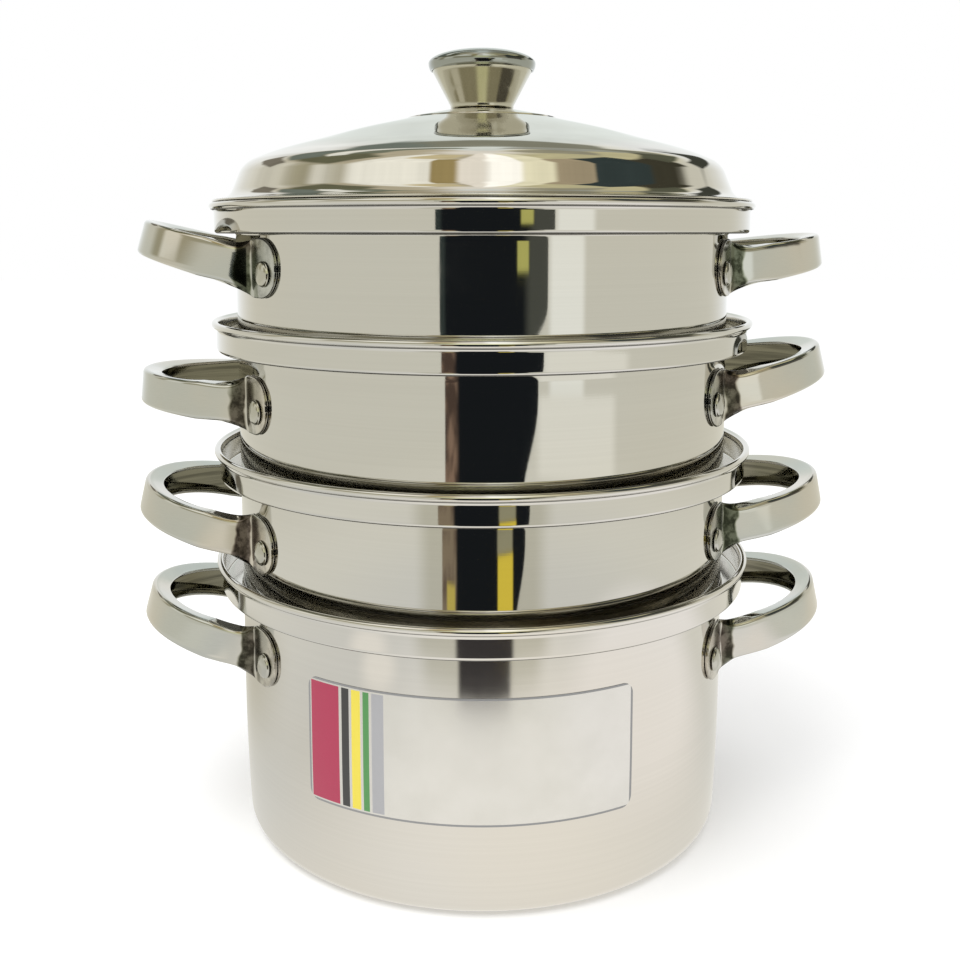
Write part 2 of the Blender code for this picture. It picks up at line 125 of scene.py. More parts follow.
# Small curves, edges and shares that finish the surfaces
LIP_START = 176.0
LIP_END = -84.0
LIP_COVE_FALL = 0.0018
COLLAR_ROOT = 0.0009
COLLAR_CORNER = 0.0018
WALL_COVE = 0.0008
MOUTH_INSIDE = 0.0170
MOUTH_OUTSIDE = 0.0165
WALL_FOOT = 0.0020
LID_EDGE = 0.0005
BROW_START = 0.75
BROW_END = 0.24
KNOB_FOOT = 0.0008
CAP_TUCK = 0.0009
CAP_TUCK_POWER = 2.2
CAP_HOLLOW = 0.965
RIVET_EDGE = 0.0003
FOOT_ROUND_END = 0.105
BEND_REACH = 0.0029
FOOT_FADE = 0.0092
FOOT_FADE_POWER = 1.6
TIP_START = 0.16
PLUG_ENDS = (-0.002, 0.004)

# Angles in degrees over which an edge stays sharp
SHARP = 38.0
STRAP_SHARP = 50.0

# The pot's label: left and right bearing, low and high edge, its corners and its two faces off the wall
LABEL_BOX = (-39.0, 32.6, 0.0412, 0.0972)
LABEL_CORNER = 0.005
LABEL_LIFTS = (0.00006, 0.00018)

# Depth of the finest polishing marks
HAIR = 0.000004

# The tent, the height that its angles are taken from, and the board, cloth, floor and lamp
TENT_RADIUS = 1.7
TENT_MIDDLE = 0.25
TENT_EYE = 0.31
BOARD_RADIUS = 1.65
BOARD_DROP = 0.0004
FLAG_CORNERS = ((-0.18, -0.44, 0.002), (0.22, -0.44, 0.002), (0.52, -1.0, 0.52), (-0.42, -1.0, 0.52))
FLOOR_HALF = 6.0
FLOOR_DROP = 0.0008
LAMP_PLACE = (-0.5, -0.7, 1.6)
LAMP_TURN = (26.0, -17.0, 0.0)
LAMP_SIZE = 1.2
LAMP_POWER = 14.0

# The point before the axis that bearings on the board and the dark cloth are taken from
MIRROR_Y = -0.065

# The camera, looking down by its tilt
CAMERA_PLACE = (0.0, -0.5775, 0.2895)
CAMERA_TILT = 6.294
CAMERA_LENS = 43.245
CAMERA_SENSOR = 36.0
CAMERA_SHIFT = (-0.00214, -0.1280)
CAMERA_CLIP = (0.01, 50.0)


# Shapes

def arc(centre, radius, start, end, steps):
    """Points on a circle: its centre plus the radius times the cosine and sine of evenly spaced angles."""
    turn = np.radians(np.linspace(start, end, steps + 1))
    return np.column_stack([centre[0] + radius * np.cos(turn), centre[1] + radius * np.sin(turn)])


def run(start, end, steps):
    """Points on a straight line: the start plus even shares of the way to the end."""
    share = np.linspace(0.0, 1.0, steps + 1)[:, None]
    return np.array(start) + share * (np.array(end) - np.array(start))


def line_up(*parts):
    """One profile from its parts, without the points that repeat the one before them."""
    points = np.vstack(parts)
    keep = np.ones(len(points), bool)
    keep[1:] = np.linalg.norm(np.diff(points, axis=0), axis=1) > 2e-6
    return points[keep]


def grid_faces(rows, columns, close_rows, close_columns):
    """Four-sided faces between neighbouring points of a grid.

    A closed direction joins its last line to its first.
    """
    r = np.arange(rows if close_rows else rows - 1)
    c = np.arange(columns if close_columns else columns - 1)
    r, c = np.meshgrid(r, c, indexing="ij")
    r_next, c_next = (r + 1) % rows, (c + 1) % columns
    around = [r * columns + c, r * columns + c_next, r_next * columns + c_next, r_next * columns + c]
    return np.stack(around, -1).reshape(-1, 4)


def mesh_object(name, points, faces):
    """An object at the origin with its place in its mesh, in the scene."""
    mesh = bpy.data.meshes.new(name)
    mesh.from_pydata(np.asarray(points, float).tolist(), [], faces)
    made = bpy.data.objects.new(name, mesh)
    bpy.context.scene.collection.objects.link(made)
    return made


def make_piece(name, points, faces, sharp=SHARP):
    """A shown object, its faces out, and smooth but for edges over the angle."""
    piece = mesh_object(name, points, faces)
    mesh = piece.data
    bm = bmesh.new()
    bm.from_mesh(mesh)
    bmesh.ops.recalc_face_normals(bm, faces=bm.faces)
    bm.to_mesh(mesh)
    bm.free()
    mesh.polygons.foreach_set("use_smooth", np.ones(len(mesh.polygons), bool))
    mesh.set_sharp_from_angle(angle=math.radians(sharp))
    return piece


def turned(profile, steps, close_profile=False):
    """Points and faces of a profile turned about Z: radius times sine and cosine of the turn, at its height.

    An end on the axis becomes one point with a fan of triangles round it.
    """
    rings = profile
    fans = []
    if profile[0][0] < 1e-7:
        fans.append((profile[0], 0))
        rings = rings[1:]
    if profile[-1][0] < 1e-7:
        fans.append((profile[-1], len(rings) - 2))
        rings = rings[:-1]
    turn = np.linspace(0.0, math.tau, steps, endpoint=False)
    r, z = rings[:, 0][:, None], rings[:, 1][:, None]
    points = np.stack([r * np.sin(turn), -r * np.cos(turn), z + 0.0 * turn], -1).reshape(-1, 3)
    faces = grid_faces(len(rings), steps, close_profile, True).tolist()
    here = np.arange(steps)
    for place, ring in fans:
        hub = len(points)
        points = np.vstack([points, [[0.0, 0.0, place[1]]]])
        rim = ring * steps + here
        faces += np.stack([np.full(steps, hub), rim, np.roll(rim, -1)], -1).tolist()
    return points, faces


def mouth_profile(rim):
    """The mouth's section, from the inner wall over the lip to the outer wall: arcs joined by straight runs.

    Its parts are the seat's rounded edge, the collar's inside, the rolled lip with a cove under it, the
    collar's outside with a rounded lower corner, and a small cove against the wall.
    """
    shoulder_top = rim - COLLAR_DEPTH + SHEET
    inner = WALL - SHEET
    collar_in = COLLAR - SHEET
    collar_foot = rim - COLLAR_DEPTH
    return line_up(
        arc((inner + SHOULDER_EDGE, shoulder_top - SHOULDER_EDGE), SHOULDER_EDGE, 180, 90, 8),
        arc((collar_in - COLLAR_ROOT, shoulder_top + COLLAR_ROOT), COLLAR_ROOT, -90, 0, 6),
        run((collar_in, shoulder_top + 0.002), (collar_in, rim - 0.0022), 3),
        arc((COLLAR + LIP_REACH, rim), LIP, LIP_START, LIP_END, 22),
        lip_cove(rim),
        arc((COLLAR - COLLAR_CORNER, collar_foot + COLLAR_CORNER), COLLAR_CORNER, 0, -90, 10),
        run((WALL + WALL_COVE + 0.0004, collar_foot), (WALL + WALL_COVE + 0.0001, collar_foot), 1),
        arc((WALL + WALL_COVE, collar_foot - WALL_COVE), WALL_COVE, 90, 180, 6),
    )


def lip_cove(rim):
    """The hollow under the lip: out from the collar by the square of the way left, falling evenly."""
    share = np.linspace(0.0, 1.0, 9)
    start = LIP_REACH + LIP * math.cos(math.radians(LIP_END))
    return np.column_stack([COLLAR + start * (1 - share) ** 2, rim - LIP - LIP_COVE_FALL * share])


def vessel_profile(height, corner, base, taper_top):
    """A vessel's section from the middle of its floor over the lip to the middle of its underside.

    Below the taper's top the wall draws in by the square of the way down from it.
    """
    centre = (base - corner, corner)
    wall_foot = max(taper_top, corner) + WALL_FOOT
    parts = [run((0.0, SHEET), (centre[0], SHEET), 8)[:-1], arc(centre, corner - SHEET, -90, 0, 10)]
    wall_out = None
    if taper_top > corner:
        share = np.linspace(0.0, 1.0, 12)
        drop = taper_top + (corner - taper_top) * share
        wall_out = np.column_stack([WALL - (WALL - base) * share ** 2, drop])
        parts.append((wall_out - [SHEET, 0.0])[::-1])
    parts.append(run((WALL - SHEET, wall_foot), (WALL - SHEET, height - MOUTH_INSIDE), 4))
    parts.append(mouth_profile(height))
    parts.append(run((WALL, height - MOUTH_OUTSIDE), (WALL, wall_foot), 4))
    if wall_out is not None:
        parts.append(wall_out)
    parts += [arc(centre, corner, 0, -90, 12), run((centre[0], 0.0), (0.0, 0.0), 8)[1:]]
    return line_up(*parts)


def lid_side(offset):
    """One side of the lid's section, this far under its top side, from the flange to the seat of the knob.

    Its parts are the flat flange, hollow flare, leaning wall, round shoulder, steep brow, cone and disc. The
    brow eases into the cone along a curve of the second degree. The cone is crowned by a squared sine. The
    disc's step rises by three squares less two cubes of its share.
    """
    top = LID_SHEET - offset
    lean = math.radians(LID_WALL_LEAN)
    flare_centre = (LID_FLANGE - LID_FLANGE_WIDTH, LID_SHEET + LID_FLARE)
    foot = arc(flare_centre, LID_FLARE, -90, LID_WALL_LEAN - 180, 1)[-1]
    wall_top = LID_SHEET + LID_WALL_HEIGHT
    wall_in = foot[0] - (wall_top - foot[1]) * math.tan(lean)
    centre = (wall_in - LID_SHOULDER * math.cos(lean), wall_top - LID_SHOULDER * math.sin(lean))
    flange = run((LID_FLANGE - 0.0004, top), (flare_centre[0], top), 2)
    flare = arc(flare_centre, LID_FLARE + offset, -90, LID_WALL_LEAN - 180, 14)
    bend = arc(centre, LID_SHOULDER - offset, LID_WALL_LEAN, 90 - LID_BROW_SLOPE, 22)
    brow_z = bend[-1][1] + (bend[-1][0] - LID_BROW) * math.tan(math.radians(LID_BROW_SLOPE))
    brow = np.array([LID_BROW, brow_z])
    edge = LID_DISC - offset
    disc_foot = np.array([edge, brow_z + (LID_BROW - edge) * math.tan(math.radians(LID_SLOPE))])
    start = brow + BROW_START * (bend[-1] - brow)
    end = brow + BROW_END * (disc_foot - brow)
    share = np.linspace(0.0, 1.0, 26)[:, None]
    ease = (1 - share) ** 2 * start + 2 * share * (1 - share) * brow + share ** 2 * end
    share = np.linspace(0.0, 1.0, 24)[1:]
    cone = end + share[:, None] * (disc_foot - end)
    cone[:, 1] += LID_CROWN * np.sin(np.pi * share) ** 2
    share = np.linspace(0.0, 1.0, 9)[1:]
    step = disc_foot + LID_DISC_STEP * np.column_stack([-share, 3 * share ** 2 - 2 * share ** 3])
    seat_z = step[-1][1] + (step[-1][0] - KNOB_BASE) * math.tan(math.radians(LID_DISC_SLOPE))
    disc = run(step[-1], (KNOB_BASE, seat_z), 6)[1:]
    return line_up(flange, flare, bend, ease, cone, step, disc)


def lid_profile():
    """The lid's closed section: underside, rounded edge, top side a sheet above it, and the screw's hole."""
    upper, lower = lid_side(0.0), lid_side(LID_SHEET)
    hole = SCREW_RADIUS + GAP
    edge = arc((LID_FLANGE - LID_EDGE, LID_SHEET / 2), LID_EDGE, -90, 90, 8)
    return line_up(lower[::-1], edge, upper, [[hole, upper[-1][1]], [hole, lower[-1][1]]])


def knob_body_profile():
    """The hollow cone's closed section: boss, base plate, inside, neck, and outside with a rounded foot."""
    hole = SCREW_RADIUS + GAP
    plate = KNOB_SHEET * 1.5
    neck = KNOB_HEIGHT - CAP_BAND
    flank = run((KNOB_BASE, plate), (KNOB_NECK, neck), 12)
    return line_up(
        [[hole, 0.0], [hole, BOSS_HEIGHT], [BOSS_RADIUS, BOSS_HEIGHT], [BOSS_RADIUS, plate]],
        [[KNOB_BASE - KNOB_SHEET, plate]],
        flank[2:] - [KNOB_SHEET, 0.0],
        [[KNOB_NECK - KNOB_SHEET, KNOB_HEIGHT], [KNOB_NECK, KNOB_HEIGHT]],
        flank[::-1],
        arc((KNOB_BASE - KNOB_FOOT, KNOB_FOOT), KNOB_FOOT, 0, -90, 6),
    )


def knob_cap_profile():
    """The cap's closed section: a low dome as half an ellipse, a tucked-in band and the hollow underside.

    The band is tucked in by a power of the way down it.
    """
    inside = KNOB_NECK + GAP
    crown = CAP_BAND + CAP_DOME
    dome = arc((0.0, 0.0), 1.0, 0, 90, 28) * [CAP_RADIUS, CAP_DOME] + [0.0, CAP_BAND]
    dome[-1] = (0.0, crown)
    share = np.linspace(0, 1, 8)
    skirt = np.column_stack([CAP_RADIUS - CAP_TUCK * (1 - share) ** CAP_TUCK_POWER, CAP_BAND * share])
    under = dome[::-1][1:-1] * [CAP_HOLLOW, 1.0] - [0.0, KNOB_SHEET]
    under = under[(under[:, 1] > CAP_BAND) & (under[:, 0] < inside)]
    return line_up([[0.0, crown - KNOB_SHEET]], under, [[inside, CAP_BAND], [inside, 0.0]], skirt, dome)


def rivet_profile():
    """A rivet's section from the top of its domed head to the middle of its tail, with rounded edges.

    The dome is a quarter of an ellipse above the head's rounded edge.
    """
    seat = GAP * 2 + STRAP_SHEET
    side = 2 * RIVET_EDGE
    lift = np.linspace(math.pi / 2, 0.0, 12)
    dome = np.column_stack([(RIVET_HEAD - RIVET_EDGE) * np.cos(lift),
                            seat + side + (RIVET_HEAD_HEIGHT - side) * np.sin(lift)])
    tail = -(SHEET + GAP)
    return line_up(
        dome,
        arc((RIVET_HEAD - RIVET_EDGE, seat + RIVET_EDGE), RIVET_EDGE, 0, -90, 4),
        [[RIVET_SHANK, seat], [RIVET_SHANK, tail], [RIVET_TAIL - RIVET_EDGE, tail]],
        arc((RIVET_TAIL - RIVET_EDGE, tail - RIVET_EDGE), RIVET_EDGE, 90, -60, 4),
        [[0.0, tail - RIVET_TAIL_HEIGHT]],
    )


def foot_radius():
    """The radius of the middle of a strap's sheet where its foot lies against the wall."""
    return WALL + GAP + STRAP_SHEET / 2


def strap_path(reach):
    """Points of the strap's middle line in the loop's plane, with their foot share, tip height and way.

    The foot follows a circle round the wall, and a small arc turns it outwards. The loop then stands out by
    the sine of the turn to the power 2 over the fullness, and spreads sideways by its cosine. The foot's form
    fades along the strap as one over one plus a power of the way from the bend, and its tip is rounded as a
    circle. The way is the length along the line, 0 at the bend.
    """
    radius = foot_radius()
    root = math.asin(HANDLE_HALF_WIDTH / radius)
    corner = np.array([radius * math.cos(root), radius * math.sin(root)])
    round_foot = root + FOOT_LENGTH / radius * np.linspace(1.0, FOOT_ROUND_END, 40)
    foot = np.column_stack([radius * np.cos(round_foot), radius * np.sin(round_foot)])
    share = np.linspace(0.0, 1.0, 14)[:, None]
    reach_out = corner + [BEND_REACH, 0.0]
    bend = (1 - share) ** 2 * foot[-1] + 2 * share * (1 - share) * corner + share ** 2 * reach_out
    turn = np.radians(90.0 * np.linspace(0.0, 1.0, 200) ** 1.5)[1:]
    far = reach - STRAP_SHEET / 2
    loop = np.column_stack([corner[0] + (far - corner[0]) * np.sin(turn) ** (2 / HANDLE_FULLNESS),
                            HANDLE_HALF_WIDTH * np.cos(turn)])
    loop = loop[loop[:, 0] > reach_out[0] + 0.0005]
    line = np.vstack([foot, bend[1:], loop])
    way = np.concatenate([[0.0], np.cumsum(np.linalg.norm(np.diff(line, axis=0), axis=1))])
    half_foot = FOOT_LENGTH * 0.5
    even = np.concatenate([half_foot * (1 - np.cos(np.linspace(0.04, 1.0, 30) * math.pi / 2)),
                           np.linspace(half_foot, way[-1], 96)[1:]])
    even[0] = 0.0
    points = np.column_stack([np.interp(even, way, line[:, 0]), np.interp(even, way, line[:, 1])])
    past_bend = np.clip(even - (FOOT_LENGTH - BEND_REACH), 0.0, None)
    foot_share = 1 / (1 + (past_bend / FOOT_FADE) ** FOOT_FADE_POWER)
    tip = np.clip(even / FOOT_TIP, 0.0, 1.0)
    tip_height = TIP_START + (1 - TIP_START) * np.sqrt(1 - (1 - tip) ** 2)
    return points, foot_share, tip_height, even - FOOT_LENGTH


def strap_section(foot, tip):
    """Closed sections of the bent strap, a row for each station: outwards, upwards, cut edge and inner side.

    The sheet's middle line runs up the web, round the bend and along the flange. The section is that line
    moved half a sheet to each side, with half-round edges. The bend opens as the form turns into the foot.
    """
    foot, tip = foot[:, None], tip[:, None]
    half_sheet = STRAP_SHEET / 2
    flange = (FLANGE_DEPTH - STRAP_BEND - half_sheet) * (1 - foot) ** 1.3 + 0.0002
    angle = np.radians(90 + FLANGE_FALL) * (1 - foot) ** 0.9
    height = (STRAP_HEIGHT + (FOOT_HEIGHT - STRAP_HEIGHT) * foot) * tip
    steep = np.minimum(angle, math.pi / 2)
    above = (STRAP_BEND + half_sheet) * np.sin(steep) + flange * np.clip(np.cos(angle), 0.0, None)
    web = np.clip(height / 2 - above - half_sheet * np.cos(steep), 0.0004, None)
    share = [np.linspace(0, 1, 6)[:-1], 1 + np.linspace(0, 1, 8)[:-1], 2 + np.linspace(0, 1, 5)]
    share = np.concatenate(share)[None, :]
    in_web, in_bend, in_flange = [np.clip(share - start, 0, 1) for start in range(3)]
    lean = angle * in_bend
    n = -STRAP_BEND * (1 - np.cos(lean)) - flange * in_flange * np.sin(angle)
    w = web * in_web + STRAP_BEND * np.sin(lean) + flange * in_flange * np.cos(angle)
    side_n, side_w = np.cos(lean), np.sin(lean)
    ball = np.radians(np.linspace(80, -80, 5))[None, :]
    end_n, end_w = -np.sin(angle), np.cos(angle)
    tip_n = n[:, -1:] + half_sheet * (np.cos(ball) * end_n + np.sin(ball) * np.cos(angle))
    tip_w = w[:, -1:] + half_sheet * (np.cos(ball) * end_w + np.sin(ball) * np.sin(angle))
    upper_n = np.hstack([n + half_sheet * side_n, tip_n, (n - half_sheet * side_n)[:, ::-1]])
    upper_w = np.hstack([w + half_sheet * side_w, tip_w, (w - half_sheet * side_w)[:, ::-1]])
    out_n = np.hstack([upper_n, upper_n[:, ::-1][:, 1:-1]])
    out_w = np.hstack([upper_w, -upper_w[:, ::-1][:, 1:-1]])
    edge = np.repeat([0.0, 1.0, 0.0], [n.shape[1], ball.size, n.shape[1]])
    inner = np.repeat([0.0, 0.5, 1.0], [n.shape[1], ball.size, n.shape[1]])
    edge, inner = [np.concatenate([row, row[::-1][1:-1]]) for row in (edge, inner)]
    return out_n, out_w + FOOT_RISE * foot, edge, inner


def strap_piece(name, level, turn, lean, reach, slant):
    """A whole strap: its section carried along the path and mirrored, tilted by its lean, turned to its side.

    The slant raises each station for its distance sideways. Each point keeps its place on the strap for the
    finish: the way along from the bend, 1 on the sheet's cut edge, and 1 on its inner side.
    """
    half, foot, tip, way = strap_path(reach)
    line = np.vstack([half, (half * [1, -1])[::-1][1:]])
    foot = np.concatenate([foot, foot[::-1][1:]])
    foot = np.maximum(foot - foot.min(), 0) / (1 - foot.min())
    tip = np.concatenate([tip, tip[::-1][1:]])
    way = np.concatenate([way, way[::-1][1:]])
    root = foot_radius() * math.cos(math.asin(HANDLE_HALF_WIDTH / foot_radius()))
    beyond = np.clip(line[:, 0] - root, 0.0, None)
    slope = math.radians(lean)
    centre = np.column_stack([line[:, 0] - beyond * (1 - math.cos(slope)), line[:, 1],
                              beyond * math.sin(slope) + line[:, 1] * slant])
    along = np.gradient(centre, axis=0)
    along /= np.linalg.norm(along, axis=1)[:, None]
    tilt = slope * (1 - foot) ** 2
    up = np.column_stack([-np.sin(tilt), 0 * tilt, np.cos(tilt)])
    out = -np.cross(along, up)
    out /= np.linalg.norm(out, axis=1)[:, None]
    n, w, edge, inner = strap_section(foot, tip)
    points = centre[:, None] + out[:, None] * n[..., None] + up[:, None] * w[..., None]
    rows, columns = n.shape
    c, s = math.cos(turn), math.sin(turn)
    points = points.reshape(-1, 3) @ np.array([[c, s, 0], [-s, c, 0], [0, 0, 1]]) + [0, 0, level]
    faces = grid_faces(rows, columns, False, True).tolist()
    faces += [list(range(columns))[::-1], list(range((rows - 1) * columns, rows * columns))]
    piece = make_piece(name, points, faces, STRAP_SHARP)
    place = np.stack([way[:, None] + 0 * n, edge + 0 * n, inner + 0 * n], -1)
    own = piece.data.attributes.new("strap_place", "FLOAT_VECTOR", "POINT")
    own.data.foreach_set("vector", place.ravel())
    return piece


def rivet_piece(name, level, angle):
    """One rivet: its section turned about its own axis, laid along the radius at this angle and height."""
    points, faces = turned(rivet_profile(), 40)
    c, s = math.cos(angle), math.sin(angle)
    out = points[:, 2] + WALL
    placed = np.column_stack([out * c - points[:, 0] * s, out * s + points[:, 0] * c, level + points[:, 1]])
    return make_piece(name, placed, faces)


def hole_places():
    """Centres of the steam holes on a triangular grid, kept clear of the floor's rounded corner."""
    rise = HOLE_PITCH * math.sin(math.pi / 3)
    row, column = np.meshgrid(np.arange(-5, 6), np.arange(-6, 7), indexing="ij")
    x, y = (column + (row % 2) / 2) * HOLE_PITCH, row * rise
    inside = np.hypot(x, y) + HOLE_RADIUS <= HOLE_REACH
    return np.column_stack([x[inside], y[inside]])


def punch(piece, bottom):
    """Cut the steam holes through a tier's floor with round plugs, and keep the cut mesh.

    A plug is two rings, one under the floor and one over it, each the hole's radius times the cosine and sine
    of the turn, closed by two caps and a row of sides.
    """
    turn = np.linspace(0, math.tau, HOLE_SIDES, endpoint=False)
    ring = HOLE_RADIUS * np.column_stack([np.cos(turn), np.sin(turn)])
    plug_points = np.vstack([np.column_stack([ring, np.full(HOLE_SIDES, bottom + end)]) for end in PLUG_ENDS])
    plug_faces = [list(range(HOLE_SIDES))[::-1], list(range(HOLE_SIDES, 2 * HOLE_SIDES))]
    plug_faces += grid_faces(2, HOLE_SIDES, False, True).tolist()
    centres = np.pad(hole_places(), ((0, 0), (0, 1)))
    points = (centres[:, None] + plug_points).reshape(-1, 3)
    starts = range(0, len(points), len(plug_points))
    faces = [[start + corner for corner in face] for start in starts for face in plug_faces]
    plugs = mesh_object("plugs", points, faces)
    cut = piece.modifiers.new("Steam holes", "BOOLEAN")
    cut.operation, cut.solver, cut.object = "DIFFERENCE", "EXACT", plugs
    bpy.context.view_layer.update()
    whole = piece.data
    piece.data = bpy.data.meshes.new_from_object(piece.evaluated_get(bpy.context.evaluated_depsgraph_get()))
    piece.modifiers.clear()
    piece.data.name = whole.name + "_punched"
    piece.data.set_sharp_from_angle(angle=math.radians(SHARP))
    bpy.data.objects.remove(plugs)


def label_piece(name, left, right, low, high):
    """A thin sheet on the pot's wall: even turns across and heights up, drawn in at the rounded corners."""
    width = math.radians(right - left) * WALL
    swing = np.linspace(0, math.pi / 2, 8)
    across = np.concatenate([LABEL_CORNER * (1 - np.cos(swing)),
                             np.linspace(LABEL_CORNER, width - LABEL_CORNER, 60)[1:-1],
                             width - LABEL_CORNER * (1 - np.cos(swing[::-1]))])
    into = np.clip(LABEL_CORNER - np.minimum(across, width - across), 0, None)
    inset = (LABEL_CORNER - np.sqrt(np.maximum(LABEL_CORNER ** 2 - into ** 2, 0)))[:, None]
    up = np.linspace(0, 1, 16)[None, :]
    z = (low + inset) * (1 - up) + (high - inset) * up
    turn = np.radians(left) + (across / WALL)[:, None] + 0 * up
    fall = np.clip((POT_TAPER_TOP - z) / (POT_TAPER_TOP - POT_CORNER), 0, 1)
    wall = WALL - (WALL - POT_BASE) * fall ** 2
    layers = [np.stack([(wall + lift) * np.sin(turn), -(wall + lift) * np.cos(turn), z], -1).reshape(-1, 3)
              for lift in LABEL_LIFTS]
    rows, columns = z.shape
    count = rows * columns
    faces = grid_faces(rows, columns, False, False)
    edge = np.concatenate([np.arange(columns),
                           np.arange(1, rows) * columns + columns - 1,
                           (rows - 1) * columns + np.arange(columns - 1)[::-1],
                           np.arange(1, rows - 1)[::-1] * columns])
    rim = np.stack([edge, np.roll(edge, -1), np.roll(edge, -1) + count, edge + count], -1)
    return make_piece(name, np.vstack(layers), faces.tolist() + (faces + count).tolist() + rim.tolist())


# Materials

class Wire:
    """A socket in a node tree.

    Sums, products, powers and comparisons of wires and numbers add their Math nodes.
    """

    def __init__(self, tree, socket):
        self.tree = tree
        self.socket = socket

    def node(self, kind, sockets=(), output=0, **settings):
        """Adds a node of this type: its settings first, then a value or a wire for each socket."""
        made = self.tree.nodes.new(kind)
        for key, value in settings.items():
            setattr(made, key, value)
        for key, value in dict(sockets).items():
            if isinstance(value, Wire):
                self.tree.links.new(value.socket, made.inputs[key])
            else:
                made.inputs[key].default_value = value
        return Wire(self.tree, made.outputs[output])

    def math(self, operation, *values):
        """A Math node of this operation on these wires and numbers."""
        return self.node("ShaderNodeMath", enumerate(values), operation=operation)

    def __add__(self, other):
        return self.math("ADD", self, other)

    __radd__ = __add__

    def __sub__(self, other):
        return self.math("SUBTRACT", self, other)

    def __rsub__(self, other):
        return self.math("SUBTRACT", other, self)

    def __mul__(self, other):
        return self.math("MULTIPLY", self, other)

    __rmul__ = __mul__

    def __truediv__(self, other):
        return self.math("DIVIDE", self, other)

    def __pow__(self, other):
        return self.math("POWER", self, other)

    def __gt__(self, other):
        return self.math("GREATER_THAN", self, other)

    def __lt__(self, other):
        return self.math("LESS_THAN", self, other)

    def axes(self):
        """The three parts of a vector wire."""
        split = self.node("ShaderNodeSeparateXYZ", {0: self})
        outputs = split.socket.node.outputs
        return [Wire(self.tree, outputs[k]) for k in range(3)]

    def ramp(self, low, high, start=0.0, end=1.0):
        """This value eased from start at low to end at high."""
        return self.node("ShaderNodeMapRange", {0: self, 1: low, 2: high, 3: start, 4: end},
                         interpolation_type="SMOOTHSTEP")

    def band(self, low, high, soft):
        """1 between low and high, fading to 0 over the soft width outside each."""
        return self.ramp(low - soft, low) * self.ramp(high, high + soft, 1.0, 0.0)

    def mix(self, first, second):
        """The first colour where this is 0 and the second where it is 1."""
        return self.node("ShaderNodeMix", {0: self, 6: first, 7: second}, 2, data_type="RGBA")

    def noise(self, scale, detail=2.0, rough=0.5):
        """Smooth noise from 0 to 1 at this vector, this many features to the metre."""
        sockets = {"Vector": self, "Scale": scale, "Detail": detail, "Roughness": rough}
        return self.node("ShaderNodeTexNoise", sockets)

    def vector(self, x, y, z):
        """A vector wire of three parts."""
        return self.node("ShaderNodeCombineXYZ", {0: x, 1: y, 2: z})

    def scaled(self, amount):
        """This colour times an amount."""
        return self.node("ShaderNodeVectorMath", {0: self, "Scale": amount}, operation="SCALE")

    def bump(self, distance, strength=1.0, under=None):
        """The surface raised by this height times the distance, over another bump if there is one."""
        sockets = {"Strength": strength, "Distance": distance, "Height": self}
        if under:
            sockets["Normal"] = under
        return self.node("ShaderNodeBump", sockets)


def own_place(tree):
    """The wire of the object's own coordinates."""
    return Wire(tree, tree.nodes.new("ShaderNodeTexCoord").outputs["Object"])


def shade(red, green, blue):
    """An opaque colour."""
    return (red, green, blue, 1.0)


def bearing(x, y, middle=0.0):
    """Degrees round a point on the plane of symmetry: 0 to the front and rising to the right."""
    return x.math("ARCTAN2", x, middle - y) * (180 / math.pi)


def distance(x, y, from_x=0.0, from_y=0.0):
    """How far a place is from a point, seen from above: the root of the sum of the squares."""
    return ((x - from_x) * (x - from_x) + (y - from_y) * (y - from_y)) ** 0.5


def new_material(name):
    """A material, its Principled shader and the wire of the object's own coordinates."""
    made = bpy.data.materials.new(name)
    made.use_nodes = True
    tree = made.node_tree
    return made, tree.nodes["Principled BSDF"], own_place(tree)


def plug(shader, **sockets):
    """Sets sockets of a Principled shader, each named with underscores, to a value or a wire."""
    for key, value in sockets.items():
        socket = shader.inputs[key.replace("_", " ")]
        if isinstance(value, Wire):
            value.tree.links.new(value.socket, socket)
        else:
            socket.default_value = value


def turned_steel(name, tint, roughness, waves=0.00012, seams=(), haze=0.0, dulled=()):
    """Polished sheet turned on a wheel: fine rings of polishing marks, faint smears, slow waves, painted
    shade at seams.

    The seams are heights at which a thin, slightly rougher line of painted shade sits, each with its half
    width. The dulled bands, each with two heights and the radius that it ends at, are where the vessels rub
    together.
    """
    made, shader, place = new_material(name)
    x, y, z = place.axes()
    radius = distance(x, y)
    rings = place.vector(x * 3.0, y * 3.0, (radius + z) * 900.0).noise(1.0, 3.0)
    fine = place.vector(x * 14.0, y * 14.0, (radius * 0.7 + z) * 5200.0).noise(1.0)
    smear = place.noise(16.0, 4.0, 0.62)
    cloud = place.noise(5.5)
    dull = roughness + 0.010 * (rings - 0.5) + 0.045 * smear.ramp(0.52, 0.74) + haze * cloud
    for low, high, limit in dulled:
        dull = dull + 0.05 * z.band(low, high, 0.0004) * (radius < limit)
    # Painted shade: a thin darker, rougher line at each seam, in the crease under the lip and at the collar's
    # foot
    crease_shade = 0.0 * z
    for height, half in seams:
        crease_shade = crease_shade.math("MAXIMUM", crease_shade, z.band(height - half, height + half, half))
    tone = (0.955 + 0.06 * rings + 0.02 * fine) * (1 - 0.75 * crease_shade)
    warm = cloud.ramp(0.35, 0.68).mix(shade(*tint), shade(tint[0] * 1.01, tint[1] * 0.985, tint[2] * 0.94))
    hair = (rings + fine).bump(HAIR, 0.25, place.noise(14.0, 1.0).bump(waves))
    plug(shader, Base_Color=warm.scaled(tone), Metallic=1.0, Roughness=dull + 0.35 * crease_shade, Normal=hair)
    return made


